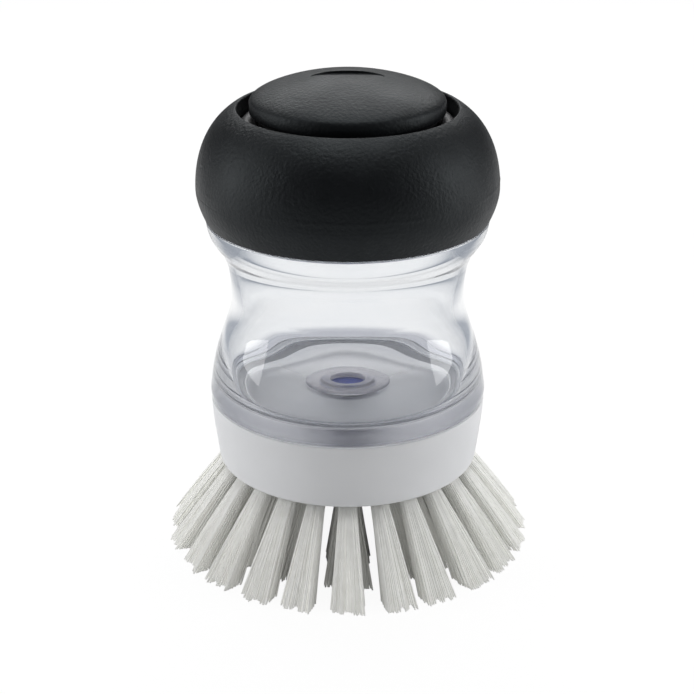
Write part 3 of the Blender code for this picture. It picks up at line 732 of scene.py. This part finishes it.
# Membrane ring
# A black snap ring inside the cap that holds the membrane's bead up under the deck.
snap_low, snap_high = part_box("diaphragm_retainer")
snap_bore = 22.3 * MM
snap_ring = turned("membrane_snap_ring", softened([
    (snap_high.x, snap_high.z, 0.2 * MM), (snap_high.x, snap_low.z, 0.2 * MM),
    (snap_bore, snap_low.z, 0.2 * MM), (snap_bore, snap_high.z, 0.2 * MM)]))
hard_black = finish("hard_black_plastic", 0.40)
mottled(hard_black, (0.012, 0.012, 0.013), (0.020, 0.020, 0.021), 220)
grained(hard_black, 2500, 0.00001, strength=0.5)
dress(snap_ring, hard_black, "cap_ring", "hard_black", "diaphragm_retainer")

# Cap core
# The rigid screw cap under the grip: a skirt round the neck and a deck with the button's opening.
core_low, core_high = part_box("cap_core")
core_inner = 26.2 * MM
deck_inner = 22.9 * MM
deck_bottom = 91.2 * MM
cap_thread = (75.2 * MM, 84.2 * MM, -0.35 * MM)
core_corner = 1.4 * MM
core_outline = [(deck_inner, core_high.z, 0.3 * MM), (core_high.x - core_corner, core_high.z, 0.3 * MM),
                (core_high.x, core_high.z - core_corner, 0.3 * MM), (core_high.x, core_low.z, 0.3 * MM),
                (core_inner, core_low.z, 0.3 * MM)]
core_outline += threaded_wall(core_inner, cap_thread[0], cap_thread[1])
core_outline += [(core_inner, deck_bottom, 0.4 * MM), (deck_inner, deck_bottom, 0.3 * MM)]
core = turned("cap_core_shell", softened(core_outline), steps=240)
cut_thread(core, core_inner, *cap_thread, start=thread_pitch / 2)
dress(core, hard_black, "cap", "hard_black", "cap_core")

# Rolling membrane
# Thin dark silicone that closes the groove round the button, held by its bead under the deck and
# by its lip on the button's hub. The lip goes along with the button; the loop, which on the real brush
# flattens as the button goes down, keeps one shape here.
membrane_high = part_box("diaphragm")[1]
roll_outer = 22.45 * MM
roll_inner = 18.75 * MM
roll_centre = (roll_outer + roll_inner) / 2
roll_radius = (roll_outer - roll_inner) / 2
roll_level = membrane_high.z - roll_radius
roll_foot = 91.6 * MM
sheet_thickness = 0.6 * MM

# Bead and lip: radius, lowest and highest level
bead = (membrane_high.x, 89.6 * MM, 90.9 * MM)
lip = (13.85 * MM, 89.5 * MM, 90.3 * MM)
lip_start = roll_foot - 0.03 * MM


def roll_point(radius, turn):
    """A point of the membrane's loop, at this angle round the loop's centre."""
    return roll_centre + radius * math.cos(turn), roll_level + radius * math.sin(turn)


membrane_outline = [(roll_outer, roll_level), (roll_outer, bead[2], 0.3 * MM),
                    (bead[0], bead[2], 0.4 * MM), (bead[0], bead[1], 0.4 * MM),
                    (roll_outer - sheet_thickness, bead[1], 0.3 * MM)]
membrane_outline += [roll_point(roll_radius - sheet_thickness, math.pi * step / 16) for step in range(17)]
membrane_outline += [(roll_inner + sheet_thickness, roll_foot, 0.1 * MM), (roll_inner, roll_foot, 0.1 * MM)]
membrane_outline += [roll_point(roll_radius, math.pi * (1 - step / 20)) for step in range(20)]
membrane = turned("rolling_membrane", softened(membrane_outline))
membrane_silicone = finish("membrane_silicone", 0.50)
mottled(membrane_silicone, (0.045, 0.045, 0.048), (0.070, 0.070, 0.073), 500)
grained(membrane_silicone, 2500, 0.00001, strength=0.5)
dress(membrane, membrane_silicone, "cap", "membrane", "diaphragm")
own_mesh(membrane)
membrane_lip = turned("membrane_lip", softened([
    (roll_inner + sheet_thickness, lip_start), (roll_inner + sheet_thickness, lip[1], 0.3 * MM),
    (lip[0], lip[1], 0.2 * MM), (lip[0], lip[2], 0.2 * MM), (roll_inner, lip[2], 0.2 * MM),
    (roll_inner, lip_start)]))
membrane_lip.data.materials.append(membrane_silicone)
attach(membrane_lip, "button")

# Button plunger
# The rigid disc and hub under the soft pad. The membrane's lip is held above its lower flange.
plunger_low, plunger_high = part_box("button_plunger")
disc_edge = (18.45 * MM, 96.5 * MM)
disc_bottom = 90.6 * MM
hub_radius = 13.55 * MM
flange_ring = (16.85 * MM, 89.2 * MM)
hollow = (10.85 * MM, 95.2 * MM)
plunger_outline = swept_curve((0, plunger_high.z), (disc_edge[0] / 2, plunger_high.z),
                              (disc_edge[0], (disc_edge[1] + plunger_high.z) / 2), disc_edge, 16)
plunger_outline += [(disc_edge[0], disc_bottom, 0.3 * MM), (hub_radius, disc_bottom, 0.2 * MM),
                    (hub_radius, flange_ring[1], 0.2 * MM), (*flange_ring, 0.3 * MM),
                    (flange_ring[0], plunger_low.z, 0.3 * MM), (hollow[0], plunger_low.z, 0.4 * MM),
                    (*hollow, 0.8 * MM), (0, hollow[1])]
plunger = turned("button_plunger_disc", softened(plunger_outline, closed=False), closed=False)
dress(plunger, hard_black, "button", "hard_black", "button_plunger")

# Button pad
# A soft black dome over the plunger, finely pebbled, with a shallow bare oval pressed into its top.
pad_low, pad_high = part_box("button_pad")
pad_radius = 20.25 * MM
pad_edge = 98.1 * MM
pad_top = 103.84 * MM
pad_bore = 18.75 * MM
pad_bore_edge = 96.8 * MM
pad_bore_top = 101.84 * MM
oval_half_length = 7.3 * MM
oval_half_width = 2.65 * MM
oval_depth = 0.85 * MM
oval_wall = 0.22 * MM
oval_rounding = oval_wall * 0.25
box_gap = 0.02 * MM

# Where the pad's rings lie: on the recess's floor as shares of the oval, up its leaning wall as
# shares of the wall's height, past its rim in widths of the wall, and from there over the dome
floor_shares = (0.15, 0.3, 0.45, 0.6, 0.75, 0.9, 1.0)
wall_shares = (0.35, 0.65, 0.85)
wall_corner = 0.3
wall_start = 0.4
wall_lean = 0.3
past_rim = (1.35, 1.9)
dome_rings = 44
dome_crowding = 0.8
dome = swept_curve((0, pad_top), (8.213 * MM, pad_top),
                   (pad_radius, 100.18 * MM), (pad_radius, pad_edge), 160)


def dome_level(radius):
    """Level of the dome's surface at this distance from its axis."""
    for (r0, z0), (r1, z1) in zip(dome, dome[1:]):
        if radius <= r1:
            return z0 + (z1 - z0) * (radius - r0) / max(r1 - r0, 1e-9)
    return pad_edge


def lofted(name, rings):
    """A closed skin through rings of points; the first and the last ring are single points."""
    data = bmesh.new()
    made = [[data.verts.new(p) for p in ring] for ring in rings]
    for one, two in zip(made, made[1:]):
        count = max(len(one), len(two))
        for i in range(count):
            corners = [one[i % len(one)], two[i % len(two)],
                       two[(i + 1) % len(two)], one[(i + 1) % len(one)]]
            data.faces.new(list(dict.fromkeys(corners)))
    bmesh.ops.recalc_face_normals(data, faces=data.faces)
    return plain(mesh_object(name, data), crease=30)


def oval_ring(share, widths, level=None, towards_edge=0.0):
    """A ring round the middle: a share of the oval and some wall widths more, or nearer to the edge.

    It is level, or else it lies on the dome's surface.
    """
    half_length = oval_half_length * share + oval_wall * widths
    half_width = oval_half_width * share + oval_wall * widths
    ring = []
    for i in range(around):
        turn = math.tau * i / around
        x = half_length * math.cos(turn) * (1 - towards_edge) + pad_radius * math.cos(turn) * towards_edge
        y = half_width * math.sin(turn) * (1 - towards_edge) + pad_radius * math.sin(turn) * towards_edge
        ring.append((x, y, dome_level(math.hypot(x, y)) if level is None else level))
    return ring


def round_ring(radius, level):
    """A level ring of this radius."""
    return [(radius * math.cos(math.tau * i / around), radius * math.sin(math.tau * i / around), level)
            for i in range(around)]


oval_floor = pad_top - oval_depth
pad_rings = [[(0, 0, oval_floor)]]
pad_rings += [oval_ring(share, 0, oval_floor) for share in floor_shares]
pad_rings.append(oval_ring(1, wall_corner, oval_floor + oval_rounding))
rim = oval_ring(1, 1)
for share in wall_shares:
    foot = oval_ring(1, wall_start + wall_lean * share, oval_floor)
    pad_rings.append([(x, y, z + (top[2] - z) * share) for (x, y, z), top in zip(foot, rim)])
pad_rings.append([(x, y, z - oval_rounding) for x, y, z in rim])
pad_rings += [oval_ring(1, widths) for widths in past_rim]
pad_rings += [oval_ring(1, past_rim[1], None, (step / dome_rings) ** dome_crowding)
              for step in range(1, dome_rings + 1)]
pad_underside = [(pad_radius, pad_edge), (pad_radius, pad_low.z, 0.5 * MM), (pad_bore, pad_low.z, 0.2 * MM)]
pad_underside += swept_curve((pad_bore, pad_bore_edge), (pad_bore, (pad_bore_edge + pad_bore_top) / 2),
                             (pad_bore / 2, pad_bore_top), (0, pad_bore_top), 16)[:-1]
pad_rings += [round_ring(radius, level) for radius, level in softened(pad_underside, closed=False)[1:]]
pad_rings = [[(x, y, min(z, pad_high.z - box_gap)) for x, y, z in ring] for ring in pad_rings]
pad_rings.append([(0, 0, pad_bore_top)])
pad = lofted("button_pad_dome", pad_rings)
soft_black = finish("soft_touch_black", 0.50, Specular_IOR_Level=0.32, Specular_Tint=(0.86, 0.96, 1.0, 1))
mottled(soft_black, (0.0036, 0.0040, 0.0050), (0.0060, 0.0066, 0.0080), 160, detail=5)
grained(soft_black, 1400, 0.00014, strength=1.0, detail=4)
worn(soft_black, 0.44, 0.56, 90)
dress(pad, soft_black, "button", "soft_grip", "button_pad")

# Grip ring
# Soft-touch rubber moulded over the cap core: a fat ring that rolls in to the button's groove,
# with the fine line of the mould halves round its widest part, deepest on one side.
grip_wide = (31.716 * MM, 80.13 * MM)
grip_rim = (23.3 * MM, 96.85 * MM)
grip_foot = (29.9 * MM, 73.9 * MM)
groove_wall = 22.75 * MM
grip_bore = 28.2 * MM
grip_ceiling = 93.1 * MM
rim_roll = grip_rim[0] - groove_wall
mould_depth = 0.07 * MM
mould_half_width = 0.10 * MM
mould_least = 0.12
mould_fades_over = 60
grip_outline = []
for step in range(9):
    turn = math.radians(180 - 80 * step / 8)
    grip_outline.append((grip_rim[0] + rim_roll * math.cos(turn),
                         grip_rim[1] - rim_roll + rim_roll * math.sin(turn)))
grip_outline += swept_curve(grip_rim, (31.517 * MM, 92.346 * MM), (grip_wide[0], grip_wide[1] + 2.508 * MM),
                            grip_wide, 40, False)[1:-1]
grip_outline += [(grip_wide[0], grip_wide[1] + mould_half_width),
                 (grip_wide[0] - mould_depth, grip_wide[1]),
                 (grip_wide[0], grip_wide[1] - mould_half_width)]
grip_outline += swept_curve(grip_wide, (grip_wide[0], grip_wide[1] - 2.607 * MM), (30.08 * MM, 74.23 * MM),
                            grip_foot, 20)[2:]
grip_outline += [(grip_bore, grip_foot[1], 0.3 * MM), (grip_bore, core_high.z - core_corner, 0.2 * MM),
                 (core_high.x - core_corner, grip_ceiling, 0.2 * MM), (groove_wall, grip_ceiling, 0.2 * MM)]
grip = turned("grip_ring_moulding", softened(grip_outline), steps=240)
for point in grip.data.vertices:
    if abs(math.hypot(point.co.x, point.co.y) - grip_wide[0] + mould_depth) < on_wall / 2:
        facing = math.degrees(math.atan2(point.co.y, point.co.x))
        fade = min(1.0, max(mould_least, 1.0 - abs(abs(facing) - 180) / mould_fades_over))
        grow = 1 + mould_depth * (1 - fade) / (grip_wide[0] - mould_depth)
        point.co.x *= grow
        point.co.y *= grow
dress(grip, soft_black, "cap", "soft_grip", "grip_ring")

# Floor and light
# A white table under soft studio light: a lamp overhead, one behind and one on each side. Seen in
# the clear and shiny pieces, the white ends at the sides and in front, where the room is darker.
white_strength = 1.03
white_glow_share = 0.9
room_light = 0.25
dark_ends = (0.30, 0.33, 0.38, 1)
mirrored_share = 0.85
least_share = 0.05

# Where the white fades out for those pieces: to the sides, and from the front to the back. On the
# table these are distances, in the sky they are parts of a direction.
table_sides, table_back = (0.05, 0.20), (-0.03, 0.05)
sky_sides, sky_back = (0.25, 0.70), (0.2, 0.6)


def stage_light(tree, across, along, side_range, far_range):
    """Strength of the white for each kind of ray, its colour, and the kinds of ray."""
    rays = tree.nodes.new("ShaderNodeLightPath").outputs
    near_middle = ranged(tree, math_node(tree, "ABSOLUTE", across), side_range, (1.0, 0.0))
    far = ranged(tree, along, far_range)
    white = math_node(tree, "MULTIPLY", near_middle, far)
    white = math_node(tree, "MAXIMUM", white, rays["Is Camera Ray"])
    white = math_node(tree, "MAXIMUM", white, rays["Is Diffuse Ray"])
    shiny = math_node(tree, "MULTIPLY_ADD", rays["Is Singular Ray"], mirrored_share, least_share)
    shiny = math_node(tree, "MULTIPLY", shiny, rays["Is Glossy Ray"])
    seen = math_node(tree, "MAXIMUM", rays["Is Camera Ray"], rays["Is Transmission Ray"])
    return math_node(tree, "MAXIMUM", seen, shiny), blended(tree, white, dark_ends, (1.0, 1.0, 1.0, 1)), rays


floor_mesh = bmesh.new()
bmesh.ops.create_grid(floor_mesh, x_segments=1, y_segments=1, size=6.0)
floor = mesh_object("table", floor_mesh)
table = finish("table_white", 0.9, Base_Color=(0.8, 0.8, 0.8, 1))
nodes = table.node_tree.nodes
links = table.node_tree.links
where = nodes.new("ShaderNodeSeparateXYZ")
links.new(nodes.new("ShaderNodeNewGeometry").outputs["Position"], where.inputs[0])
seen, colour, _ = stage_light(table.node_tree, where.outputs["X"], where.outputs["Y"],
                              table_sides, table_back)
glow = nodes.new("ShaderNodeEmission")
glow.inputs["Strength"].default_value = white_strength
links.new(colour, glow.inputs["Color"])
mixed = nodes.new("ShaderNodeMixShader")
links.new(math_node(table.node_tree, "MULTIPLY", seen, white_glow_share), mixed.inputs[0])
links.new(nodes["Principled BSDF"].outputs[0], mixed.inputs[1])
links.new(glow.outputs[0], mixed.inputs[2])
links.new(mixed.outputs[0], nodes["Material Output"].inputs["Surface"])
floor.data.materials.append(table)

world = bpy.data.worlds.new("studio")
bpy.context.scene.world = world
world.use_nodes = True
sky = world.node_tree
heading = sky.nodes.new("ShaderNodeSeparateXYZ")
sky.links.new(sky.nodes.new("ShaderNodeTexCoord").outputs["Generated"], heading.inputs[0])
seen, colour, rays = stage_light(sky, heading.outputs["X"], heading.outputs["Y"], sky_sides, sky_back)
filled = math_node(sky, "MULTIPLY", rays["Is Diffuse Ray"], room_light)
background = sky.nodes["Background"]
sky.links.new(colour, background.inputs["Color"])
sky.links.new(math_node(sky, "MAXIMUM", seen, filled), background.inputs["Strength"])

brush_middle = Vector((0, 0, 0.06))


def softbox(name, place, width, height, power):
    """A lamp of this size and power that faces the brush."""
    lamp = bpy.data.lights.new(name, "AREA")
    lamp.shape = "RECTANGLE"
    lamp.size = width
    lamp.size_y = height
    lamp.energy = power
    obj = bpy.data.objects.new(name, lamp)
    bpy.context.scene.collection.objects.link(obj)
    obj.location = place
    obj.rotation_euler = (brush_middle - Vector(place)).to_track_quat("-Z", "Y").to_euler()
    obj.visible_transmission = False


softbox("overhead", (0.0, 0.05, 0.75), 0.50, 0.40, 2.1)
softbox("behind", (0.0, 0.55, 0.50), 0.70, 0.35, 2.5)
softbox("left_side", (-0.60, 0.0, 0.25), 0.30, 0.45, 1.4)
softbox("right_side", (0.60, 0.0, 0.25), 0.30, 0.45, 1.45)

# Camera
# It stands a forearm away and looks down by 23 degrees, as the photograph does.
camera_data = bpy.data.cameras.new("view")
camera_data.sensor_width = 36.0
focal_pixels = 1750.0
frame_pixels = 694.0
axis_pixel = 347.7
looks_down = 23.17
camera_data.lens = focal_pixels / frame_pixels * camera_data.sensor_width
camera_data.shift_x = (frame_pixels / 2 - axis_pixel) / frame_pixels
camera = bpy.data.objects.new("view", camera_data)
bpy.context.scene.collection.objects.link(camera)
camera.location = (0, -0.3492, 0.1926)
camera.rotation_euler = (math.radians(90 - looks_down), 0, 0)
bpy.context.scene.camera = camera
bpy.context.scene.view_settings.view_transform = "Standard"

# Light turns round inside the clear walls many times before it leaves them
bpy.context.scene.cycles.max_bounces = 24
bpy.context.scene.cycles.glossy_bounces = 16
bpy.context.scene.cycles.transmission_bounces = 24
bpy.context.scene.cycles.transparent_max_bounces = 24
bpy.context.scene.cycles.diffuse_bounces = 6
